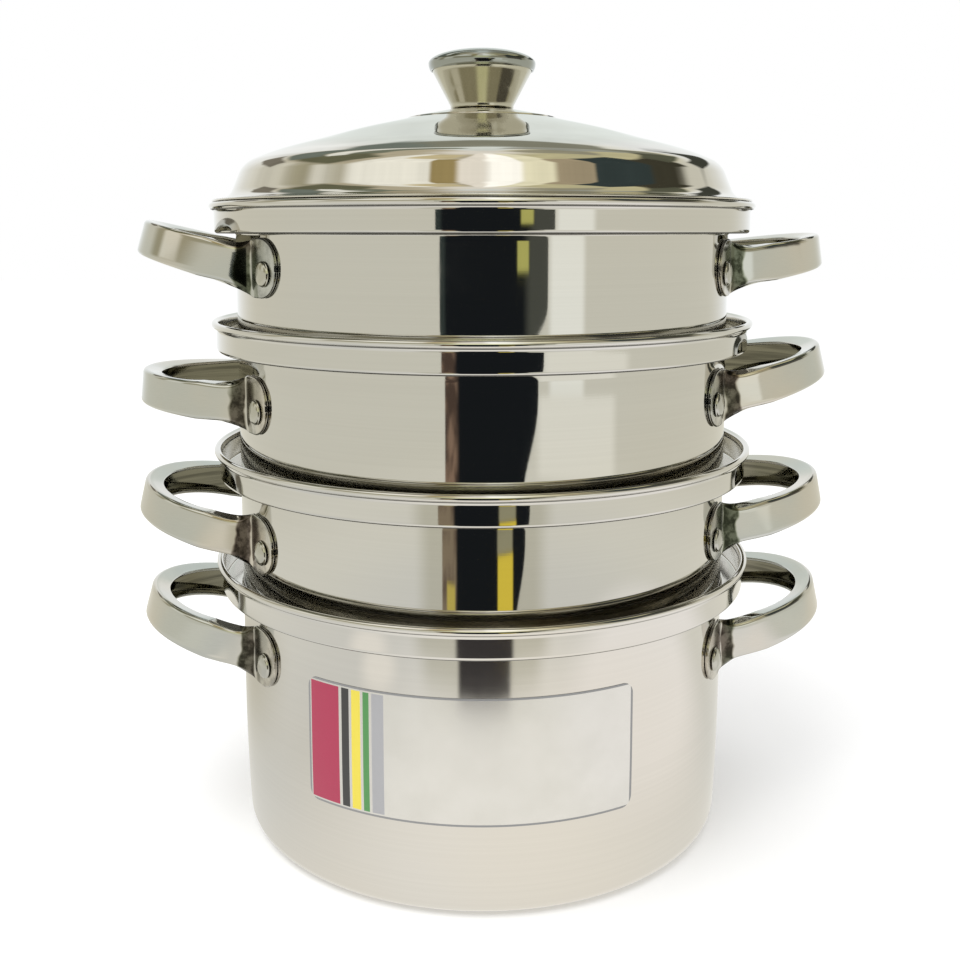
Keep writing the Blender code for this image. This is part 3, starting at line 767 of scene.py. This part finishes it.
def drawn_steel(name, tint, roughness, scratch):
    """Small pressed pieces polished on a belt: short marks in every direction, smears and slow waves."""
    made, shader, place = new_material(name)
    x, y, z = place.axes()
    marks = place.vector(x * 260.0, y * 260.0, z * 2600.0).noise(1.0, 3.0, 0.6)
    smear = place.noise(34.0, 4.0, 0.6)
    cloud = place.noise(12.0)
    dull = roughness + 0.05 * scratch * (marks - 0.5) + 0.06 * smear.ramp(0.5, 0.75)
    warm = cloud.ramp(0.35, 0.66).mix(shade(*tint), shade(tint[0] * 1.02, tint[1], tint[2] * 0.9))
    tone = 0.93 + 0.08 * marks + 0.05 * cloud
    hair = marks.bump(HAIR, 0.3, place.noise(42.0, 1.0).bump(0.00012))
    plug(shader, Base_Color=warm.scaled(tone), Metallic=1.0, Roughness=dull, Normal=hair)
    return made


def strap_steel(name, tint, roughness):
    """Pressed strap polished by hand: grey web, dull mottled feet, painted dark reflections at the bends, dim
    inner side.

    The strap's own place says how far a point is from the bend, and whether it is on the cut edge or the
    inner side, which has streaks along the strap.
    """
    made, shader, place = new_material(name)
    way, edge, inner = place.node("ShaderNodeAttribute", attribute_name="strap_place", output=1).axes()
    x, y, z = place.axes()
    foot = way.ramp(-0.0045, -0.0020, 1.0, 0.0)
    web = 1 - foot
    hollow = inner.ramp(0.55, 1.0)
    mottle = place.noise(150.0, 4.0, 0.65)
    smear = place.noise(34.0, 4.0, 0.6)
    cloud = place.noise(18.0)
    marks = place.vector(x * 260.0, y * 260.0, z * 2600.0).noise(1.0, 3.0, 0.6)
    streaks = place.vector(way * 14.0, z * 420.0, inner * 3.0).noise(1.0, 3.0, 0.6)
    # Painted dark reflection at each bend, ragged at its border, with a fainter band of painted shade on the
    # foot beside it
    ragged = way + 0.007 * (place.noise(90.0) - 0.5)
    bend = ragged.band(0.0004, 0.0066, 0.0016) + 0.45 * ragged.band(-0.0062, -0.0040, 0.0016)
    bend = bend * (0.76 + 0.24 * mottle.ramp(0.36, 0.60))
    warm = cloud.ramp(0.36, 0.62).mix(shade(tint[0] * 0.95, tint[1] * 0.98, tint[2] * 0.97),
                                      shade(tint[0] * 1.07, tint[1] * 1.02, tint[2] * 0.94))
    warm = (hollow * web).mix(warm, shade(0.31, 0.30, 0.23))
    # Green and brown tints of the painted dark reflection at the bends
    bend_dark_reflection = cloud.ramp(0.42, 0.56).mix(shade(0.46, 0.52, 0.34), shade(0.52, 0.42, 0.34))
    warm = (bend * (1 - hollow)).mix(warm, bend_dark_reflection)
    tone = (0.96 + 0.08 * marks) * (1 - 0.36 * foot * mottle.ramp(0.40, 0.66))
    # Near black at the bends as painted reflection, and a little darker on the foot's cut edge as painted
    # shade
    tone = tone * (1 - 0.93 * bend * (1 - 0.5 * hollow)) * (1 - 0.10 * foot * edge.ramp(0.2, 0.9))
    tone = tone * (1 - 0.45 * hollow * web * streaks.ramp(0.40, 0.66))
    dull = roughness + 0.05 * smear.ramp(0.5, 0.75) + 0.10 * foot + 0.06 * bend + 0.03 * (marks - 0.5)
    hair = marks.bump(HAIR, 0.3, place.noise(46.0, 1.0).bump(0.00016))
    plug(shader, Base_Color=warm.scaled(tone), Metallic=1.0, Roughness=dull, Normal=hair)
    return made


def printed_label(name, left, right, low, high):
    """A plain silver label: a thin grey outline, a crimson panel at its left, and upright stripes beside it.

    The stripes, the panel first, are two shares of the way across and a colour.
    """
    made, shader, place = new_material(name)
    x, y, z = place.axes()
    across = (bearing(x, y) - left) / (right - left)
    up = (z - low) / (high - low)
    ground = place.noise(60.0, 3.0)
    colour = ground.mix(shade(0.63, 0.62, 0.58), shade(0.74, 0.73, 0.70))
    ink = 0.0 * across
    for start, end, paint in (
            (0.012, 0.115, (0.36, 0.012, 0.06)),
            (0.126, 0.150, (0.02, 0.02, 0.02)),
            (0.160, 0.188, (0.72, 0.60, 0.05)),
            (0.198, 0.216, (0.06, 0.24, 0.06)),
            (0.226, 0.262, (0.34, 0.34, 0.35))):
        here = across.band(start, end, 0.0015) * up.band(0.03, 0.97, 0.004)
        colour = here.mix(colour, shade(*paint))
        ink = ink.math("MAXIMUM", ink, here)
    edge = 1 - across.band(0.008, 0.992, 0.001) * up.band(0.018, 0.982, 0.003)
    colour = edge.mix(colour, shade(0.22, 0.22, 0.22))
    ink = ink.math("MAXIMUM", ink, edge)
    plug(shader, Base_Color=colour, Metallic=0.82 * (1 - ink), Roughness=0.16 + 0.12 * ink + 0.05 * ground,
         Coat_Weight=0.6)
    return made


def emitter(name, paint):
    """A stage material that only glows. Paint gives the colour at a place, or the colour and where it is."""
    made = bpy.data.materials.new(name)
    made.use_nodes = True
    tree = made.node_tree
    tree.nodes.clear()
    place = own_place(tree)
    colour = paint(place)
    colour, shown = colour if isinstance(colour, tuple) else (colour, None)
    glow = place.node("ShaderNodeEmission", {"Color": colour, "Strength": 1.0})
    if shown:
        gone = place.node("ShaderNodeBsdfTransparent")
        glow = place.node("ShaderNodeMixShader", {0: shown, 1: gone, 2: glow})
    out = tree.nodes.new("ShaderNodeOutputMaterial")
    tree.links.new(glow.socket, out.inputs["Surface"])
    made.cycles.emission_sampling = "NONE"
    return made


# Studio

# Lamps and cloths on the tent: left and right bearing and their soft width, low and high and theirs, colour
TENT_PATCHES = (
    (-84.0, -70.0, 9.0, 10.0, 32.0, 6.0, (0.92, 0.90, 0.80)),
    (-9.0, 9.0, 14.0, 8.0, 34.0, 6.0, (1.00, 1.00, 0.66)),
    (58.0, 92.0, 7.0, 8.0, 34.0, 5.0, (0.13, 0.12, 0.10)),
    (-66.0, -25.0, 7.0, 36.0, 72.0, 6.0, (1.12, 1.10, 1.00)),
    (-50.0, -22.0, 6.0, 60.0, 74.0, 4.0, (0.72, 0.62, 0.38)),
    (-25.0, -9.0, 3.0, 36.0, 55.0, 4.0, (0.44, 0.34, 0.15)),
    (-9.0, 4.0, 5.0, 36.0, 86.0, 6.0, (1.06, 1.00, 0.90)),
    (6.0, 20.0, 6.0, 36.0, 80.0, 8.0, (1.45, 1.43, 1.36)),
    (24.0, 38.0, 5.0, 36.0, 80.0, 6.0, (1.08, 1.03, 0.76)),
    (40.0, 57.0, 5.0, 36.0, 55.0, 4.0, (0.48, 0.40, 0.27)),
    (59.0, 90.0, 3.0, 30.0, 55.0, 4.0, (0.045, 0.062, 0.062)),
    (90.0, 112.0, 5.0, 27.0, 44.0, 4.0, (0.06, 0.056, 0.038)),
    (112.0, 140.0, 5.0, 36.0, 46.0, 3.0, (0.12, 0.125, 0.085)),
    (-126.0, -84.0, 6.0, 40.0, 60.0, 5.0, (0.17, 0.17, 0.105)),
    (-168.0, -124.0, 6.0, 37.0, 46.0, 3.0, (0.20, 0.23, 0.20)),
    (-172.0, -124.0, 5.0, 57.0, 63.0, 3.0, (0.22, 0.24, 0.18)),
    (-158.0, -120.0, 4.0, 50.0, 54.0, 2.5, (1.05, 1.05, 0.98)),
    (-142.0, -120.0, 5.0, 25.0, 32.0, 2.5, (0.24, 0.22, 0.18)),
    (126.0, 156.0, 5.0, 20.0, 28.0, 2.5, (0.06, 0.063, 0.05)),
    (104.0, 150.0, 6.0, 62.0, 78.0, 4.0, (0.40, 0.38, 0.28)),
    (140.0, 170.0, 5.0, 50.0, 62.0, 4.0, (0.40, 0.41, 0.36)),
)


def tent_paint(place):
    """The light tent round the object: pale walls, with lamps, warm and dark cloths hung above it.

    Each cloth or lamp is a patch between two bearings and two heights in degrees, seen from the lid, with
    soft edges that sway with slow noise.
    """
    x, y, z = place.axes()
    sway = place.noise(1.3, 3.0, 0.55) - 0.5
    rise = place.math("ARCTAN2", z - TENT_EYE, distance(x, y)) * (180 / math.pi)
    side = bearing(x, y)
    away = side.math("ABSOLUTE", side)
    soft = away.ramp(118.0, 156.0).mix(shade(0.78, 0.76, 0.66), shade(1.00, 1.02, 1.02))
    soft = (away.ramp(162.0, 170.0) * rise.ramp(6.0, 14.0)).mix(soft, shade(0.82, 0.87, 0.84))
    roof = side.ramp(10.0, 30.0).mix(shade(0.60, 0.54, 0.40), shade(0.66, 0.61, 0.38))
    soft = (rise.ramp(30.0, 40.0) * away.ramp(172.0, 150.0)).mix(soft, roof)
    low_front = rise.band(9.0, 34.0, 5.0) * away.ramp(112.0, 96.0)
    soft = low_front.mix(soft, shade(0.46, 0.43, 0.31))
    soft = rise.ramp(72.0, 86.0).mix(soft, shade(0.98, 0.94, 0.86))
    bent, tall = side + 12.0 * sway, rise + 8.0 * sway
    back_band = away.ramp(128.0, 140.0) * tall.band(39.0, 47.0, 2.5)
    soft = back_band.mix(soft, shade(0.27, 0.27, 0.21))
    for left, right, edge, low, high, fade, paint in TENT_PATCHES:
        patch = bent.band(left, right, edge) * tall.band(low, high, fade)
        soft = patch.mix(soft, shade(*paint))
    veil = 0.72 + 0.56 * place.vector(x * 3.4, y * 3.4, z * 0.9).noise(1.0, 4.0, 0.6)
    soft = soft.scaled(1 + rise.ramp(6.0, 30.0) * (veil - 1))
    panel = side.band(30.0, 42.0, 3.0) * rise.band(-9.0, 0.0, 5.0)
    return panel.mix(soft, shade(1.06, 1.06, 0.98))


def board_paint(place):
    """The pale board that the pot reflects, with the shadow and the foot of the dark cloth on it.

    It is brightest just before the pot and at its right, greyer further off, and dull behind it at the left.
    """
    x, y = place.axes()[:2]
    across = bearing(x, y, MIRROR_Y)
    near = distance(x, y, 0.03, -0.24)
    right = distance(x, y, 0.31, -0.16)
    left = distance(x, y, -0.25, -0.30)
    lit = across.band(27.0, 58.0, 5.0) * near.band(0.80, 1.60, 0.08)
    behind = x.ramp(-0.08, -0.24) * y.ramp(-0.06, 0.10) * distance(x, y).ramp(0.44, 0.32)
    shadow = across.band(-22.0, 22.0, 9.0) * y.ramp(-0.30, -0.40) * y.ramp(-0.92, -0.72)
    cloth = across.band(-9.5, 11.5, 2.0) * y.ramp(-0.325, -0.36)
    paint = shade(1.05, 1.02, 0.96)
    for here, colour in (
            (near.ramp(0.07, 0.30), (0.80, 0.79, 0.74)),
            (near.ramp(0.30, 0.60), (0.87, 0.85, 0.76)),
            (near.ramp(0.60, 1.00), (0.79, 0.77, 0.67)),
            (lit, (0.98, 0.96, 0.86)),
            (right.ramp(0.24, 0.12) * y.ramp(0.16, 0.02), (1.06, 1.03, 1.00)),
            (left.ramp(0.07, 0.02), (1.00, 0.96, 0.88)),
            (behind, (0.66, 0.63, 0.53)),
            (shadow * 0.6, (0.52, 0.50, 0.38)),
            (cloth, (0.05, 0.045, 0.045))):
        paint = here.mix(paint, shade(*colour))
    return paint


def flag_paint(place):
    """The dark cloth before the object and where it hangs: black, a grey end, brown and yellow patches.

    A bearing runs across it, and three stretches one above the other, the top, the middle and the foot, each
    have their own ends.
    """
    x, y, z = place.axes()
    across = bearing(x, y, MIRROR_Y)
    top = z.ramp(0.172, 0.178)
    foot = z.ramp(0.080, 0.074)
    middle = (1 - top) * (1 - foot)
    left = -18.2 * top + 3.0 * z.ramp(0.284, 0.294) - 16.0 * middle - 17.5 * foot
    left = left + 3.0 * top * z.ramp(0.205, 0.182) ** 2.0
    right = 28.5 * top + 24.5 * middle + 19.0 * foot
    right = right - 7.0 * top * z.ramp(0.225, 0.182) ** 2.0 - 6.5 * middle * z.ramp(0.15, 0.082) ** 1.6
    right = right - 4.5 * foot * z.ramp(0.060, 0.005) ** 1.6
    shown = (across > left) * (across < right) * z.ramp(0.345, 0.320)
    folds = place.vector(x * 26.0, y * 26.0, z * 7.0).noise(1.0, 3.0).ramp(0.40, 0.60)
    brown = folds.mix(shade(0.30, 0.20, 0.14), shade(0.09, 0.06, 0.045))
    tan = folds.mix(shade(0.28, 0.22, 0.15), shade(0.15, 0.11, 0.08))
    paint = shade(0.011, 0.013, 0.015)
    for here, colour in (
            (middle * across.ramp(-9.5, -12.0), brown),
            (foot * across.ramp(-10.5, -12.0), tan),
            (foot * across.band(-15.0, -12.2, 0.8) * z.band(0.012, 0.030, 0.004), shade(0.62, 0.50, 0.12)),
            (foot * across.band(7.2, 13.2, 0.6) * z.ramp(0.052, 0.048), shade(0.85, 0.66, 0.08)),
            (foot * across.band(7.2, 12.8, 1.0) * z.band(0.052, 0.064, 0.003), shade(0.36, 0.34, 0.22)),
            (top * across.ramp(-15.0, -17.0), shade(0.040, 0.052, 0.048)),
            (top * across.ramp(17.0, 21.5), shade(0.085, 0.088, 0.073)),
            (top * across.band(15.6, 19.6, 0.9) * z.band(0.252, 0.284, 0.004), shade(0.55, 0.53, 0.16))):
        paint = here.mix(paint, colour)
    return paint, shown


def stage_piece(name, points, faces, paint):
    """A card that only reflections see."""
    made = mesh_object(name, points, faces)
    made.data.materials.append(paint)
    made.visible_camera = made.visible_diffuse = made.visible_shadow = made.visible_transmission = False


def studio():
    """A white world and floor for the camera, and a light tent with its cards for the reflections."""
    scene = bpy.context.scene
    scene.view_settings.view_transform = "Standard"
    world = bpy.data.worlds.new("studio")
    world.use_nodes = True
    back = world.node_tree.nodes["Background"]
    back.inputs["Color"].default_value = shade(1.0, 1.0, 1.0)
    back.inputs["Strength"].default_value = 1.0
    scene.world = world
    world.cycles_visibility.glossy = False
    scene.cycles.max_bounces = 20
    scene.cycles.glossy_bounces = 16

    tent_points, tent_faces = turned(arc((0.0, TENT_MIDDLE), TENT_RADIUS, 90, -90, 48), 96)
    stage_piece("light_tent", tent_points, tent_faces, emitter("tent_cloth", tent_paint))
    board = arc((0.0, 0.0), BOARD_RADIUS, 0, 360, 96)[:-1]
    board_points = np.column_stack([board, np.full(len(board), -BOARD_DROP)])
    stage_piece("bounce_board", board_points, [list(range(len(board)))], emitter("board_white", board_paint))
    stage_piece("black_flag", FLAG_CORNERS, [[0, 1, 2, 3]], emitter("flag_cloth", flag_paint))

    floor_material, shader, place = new_material("pale_floor")
    grain = place.noise(220.0, 3.0)
    plug(shader, Base_Color=grain.mix(shade(0.93, 0.93, 0.93), shade(0.95, 0.95, 0.95)), Roughness=0.9,
         Emission_Color=shade(1.0, 1.0, 1.0), Emission_Strength=0.08, Specular_IOR_Level=0.0)
    floor_corners = [(x * FLOOR_HALF, y * FLOOR_HALF, 0.0) for x, y in ((-1, -1), (1, -1), (1, 1), (-1, 1))]
    floor = mesh_object("floor", floor_corners, [(0, 1, 2, 3)])
    floor.data.materials.append(floor_material)
    floor.location.z = -FLOOR_DROP
    floor.visible_glossy = False

    key = bpy.data.lights.new("key", "AREA")
    key.shape, key.size, key.size_y, key.energy = "RECTANGLE", LAMP_SIZE, LAMP_SIZE, LAMP_POWER
    lamp = bpy.data.objects.new("key", key)
    lamp.location = LAMP_PLACE
    lamp.rotation_euler = [math.radians(turn) for turn in LAMP_TURN]
    lamp.visible_glossy = False
    scene.collection.objects.link(lamp)

    camera = bpy.data.cameras.new("camera")
    camera.lens, camera.sensor_width = CAMERA_LENS, CAMERA_SENSOR
    camera.shift_x, camera.shift_y = CAMERA_SHIFT
    camera.clip_start, camera.clip_end = CAMERA_CLIP
    eye = bpy.data.objects.new("camera", camera)
    eye.location = CAMERA_PLACE
    eye.rotation_euler = (math.radians(90 - CAMERA_TILT), 0.0, 0.0)
    scene.collection.objects.link(eye)
    scene.camera = eye


def dress(piece, body, slot, material, *nodes):
    """Gives a piece its material and its body, and hides the solids that it stands for."""
    piece.data.materials.append(material)
    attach(piece, body)
    if nodes:
        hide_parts(*nodes)


def mouth_shade_and_wear(rim):
    """The seams under a mouth's lip and collar, which get a line of painted shade, and the band inside its
    collar that is rubbed dull.
    """
    seams = [(rim - LIP - 0.0001, 0.00022), (rim - COLLAR_DEPTH + 0.0003, 0.0003)]
    dulled = [(rim - 0.0116, rim - 0.0004, COLLAR - 0.0004)]
    return seams, dulled


def handles_and_rivets(key, prefix, body, rim, strap_material, rivet_material):
    """Both straps of a vessel and the four rivets through their feet."""
    turn = math.radians(HANDLE_TURNS[key])
    spread = math.asin(HANDLE_HALF_WIDTH / foot_radius()) + (FOOT_LENGTH - RIVET_INSET) / foot_radius()
    for side, side_angle, back in (("right", turn, 1), ("left", turn + math.pi, -1)):
        drop, lean, reach, rise = HANDLE_SETS[key][side]
        level = rim - drop
        slant = back * math.tan(math.radians(rise))
        strap = strap_piece(prefix + "_strap_" + side, level, side_angle, lean, reach, slant)
        dress(strap, body, "strap_steel", strap_material, prefix + "_handle_" + side)
        for end, sign in (("front", -back), ("back", back)):
            up = WALL * math.sin(sign * spread) * slant - RIVET_DROP
            rivet = rivet_piece(prefix + "_dome_" + side + "_" + end, level + up, side_angle + sign * spread)
            dress(rivet, body, "rivet_steel", rivet_material, prefix + "_rivet_" + side + "_" + end)


def main():
    """The whole dressed object in its studio."""
    studio()
    strap_material = strap_steel("strap_polish", (0.60, 0.595, 0.575), 0.07)
    rivet_material = drawn_steel("rivet_polish", (0.52, 0.52, 0.49), 0.16, 1.2)

    # Pot
    seams, dulled = mouth_shade_and_wear(POT_HEIGHT)
    pot_material = turned_steel("pot_polish", (0.70, 0.69, 0.665), 0.055, haze=0.02,
                                seams=seams, dulled=dulled)
    points, faces = turned(vessel_profile(POT_HEIGHT, POT_CORNER, POT_BASE, POT_TAPER_TOP), ROUND)
    dress(make_piece("pot_shell", points, faces), "pot", "vessel_steel", pot_material, "base_pot")
    handles_and_rivets("pot", "pot", "pot", POT_HEIGHT, strap_material, rivet_material)
    label = label_piece("pot_label", *LABEL_BOX)
    label.data.materials.append(printed_label("label_print", *LABEL_BOX))
    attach(label, "pot")

    # Tiers, each standing where its solid does
    for key, height in TIER_HEIGHTS.items():
        node = "steamer_tier_" + key
        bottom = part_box(node)[0].z
        seams, dulled = mouth_shade_and_wear(bottom + height)
        dulled.append((bottom - 0.001, bottom + 0.0125, COLLAR))
        material = turned_steel("tier_" + key + "_polish", (0.665, 0.66, 0.635), 0.04,
                                seams=seams, dulled=dulled)
        points, faces = turned(vessel_profile(height, TIER_CORNER, WALL, 0.0), ROUND)
        shell = make_piece("tier_" + key + "_shell", points + [0, 0, bottom], faces)
        punch(shell, bottom)
        dress(shell, "tier_" + key, "vessel_steel", material, node)
        handles_and_rivets(key, "tier_" + key, "tier_" + key, bottom + height, strap_material, rivet_material)

    # Lid and knob
    lid_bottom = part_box("lid")[0].z
    points, faces = turned(lid_profile(), ROUND, True)
    lid = make_piece("lid_shell", points + [0, 0, lid_bottom], faces)
    lid_material = turned_steel("lid_polish", (0.68, 0.67, 0.635), 0.03, waves=0.00016)
    dress(lid, "lid", "lid_steel", lid_material, "lid")
    # Painted shade: the cone and its crown are darker copies of the lid's steel, the crown much darker,
    # standing in for the dark reflections on them
    knob_shaded_material = turned_steel("knob_shaded_polish", (0.56, 0.55, 0.47), 0.14, waves=0.0009)
    crown_shaded_material = turned_steel("crown_shaded_polish", (0.36, 0.385, 0.37), 0.08, waves=0.0006)
    points, faces = turned(knob_body_profile(), KNOB_ROUND, True)
    knob = make_piece("knob_cone", points + [0, 0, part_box("knob_body")[0].z], faces)
    dress(knob, "lid", "knob_steel", knob_shaded_material, "knob_body")
    points, faces = turned(knob_cap_profile(), KNOB_ROUND)
    cap = make_piece("knob_crown", points + [0, 0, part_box("knob_cap")[0].z], faces)
    dress(cap, "lid", "knob_steel", crown_shaded_material, "knob_cap")
    fastener = drawn_steel("fastener_zinc", (0.55, 0.55, 0.53), 0.24, 1.5)
    for name in ("knob_screw", "knob_washer"):
        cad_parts[name].data.materials.clear()
        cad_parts[name].data.materials.append(fastener)


main()
bpy.context.view_layer.update()
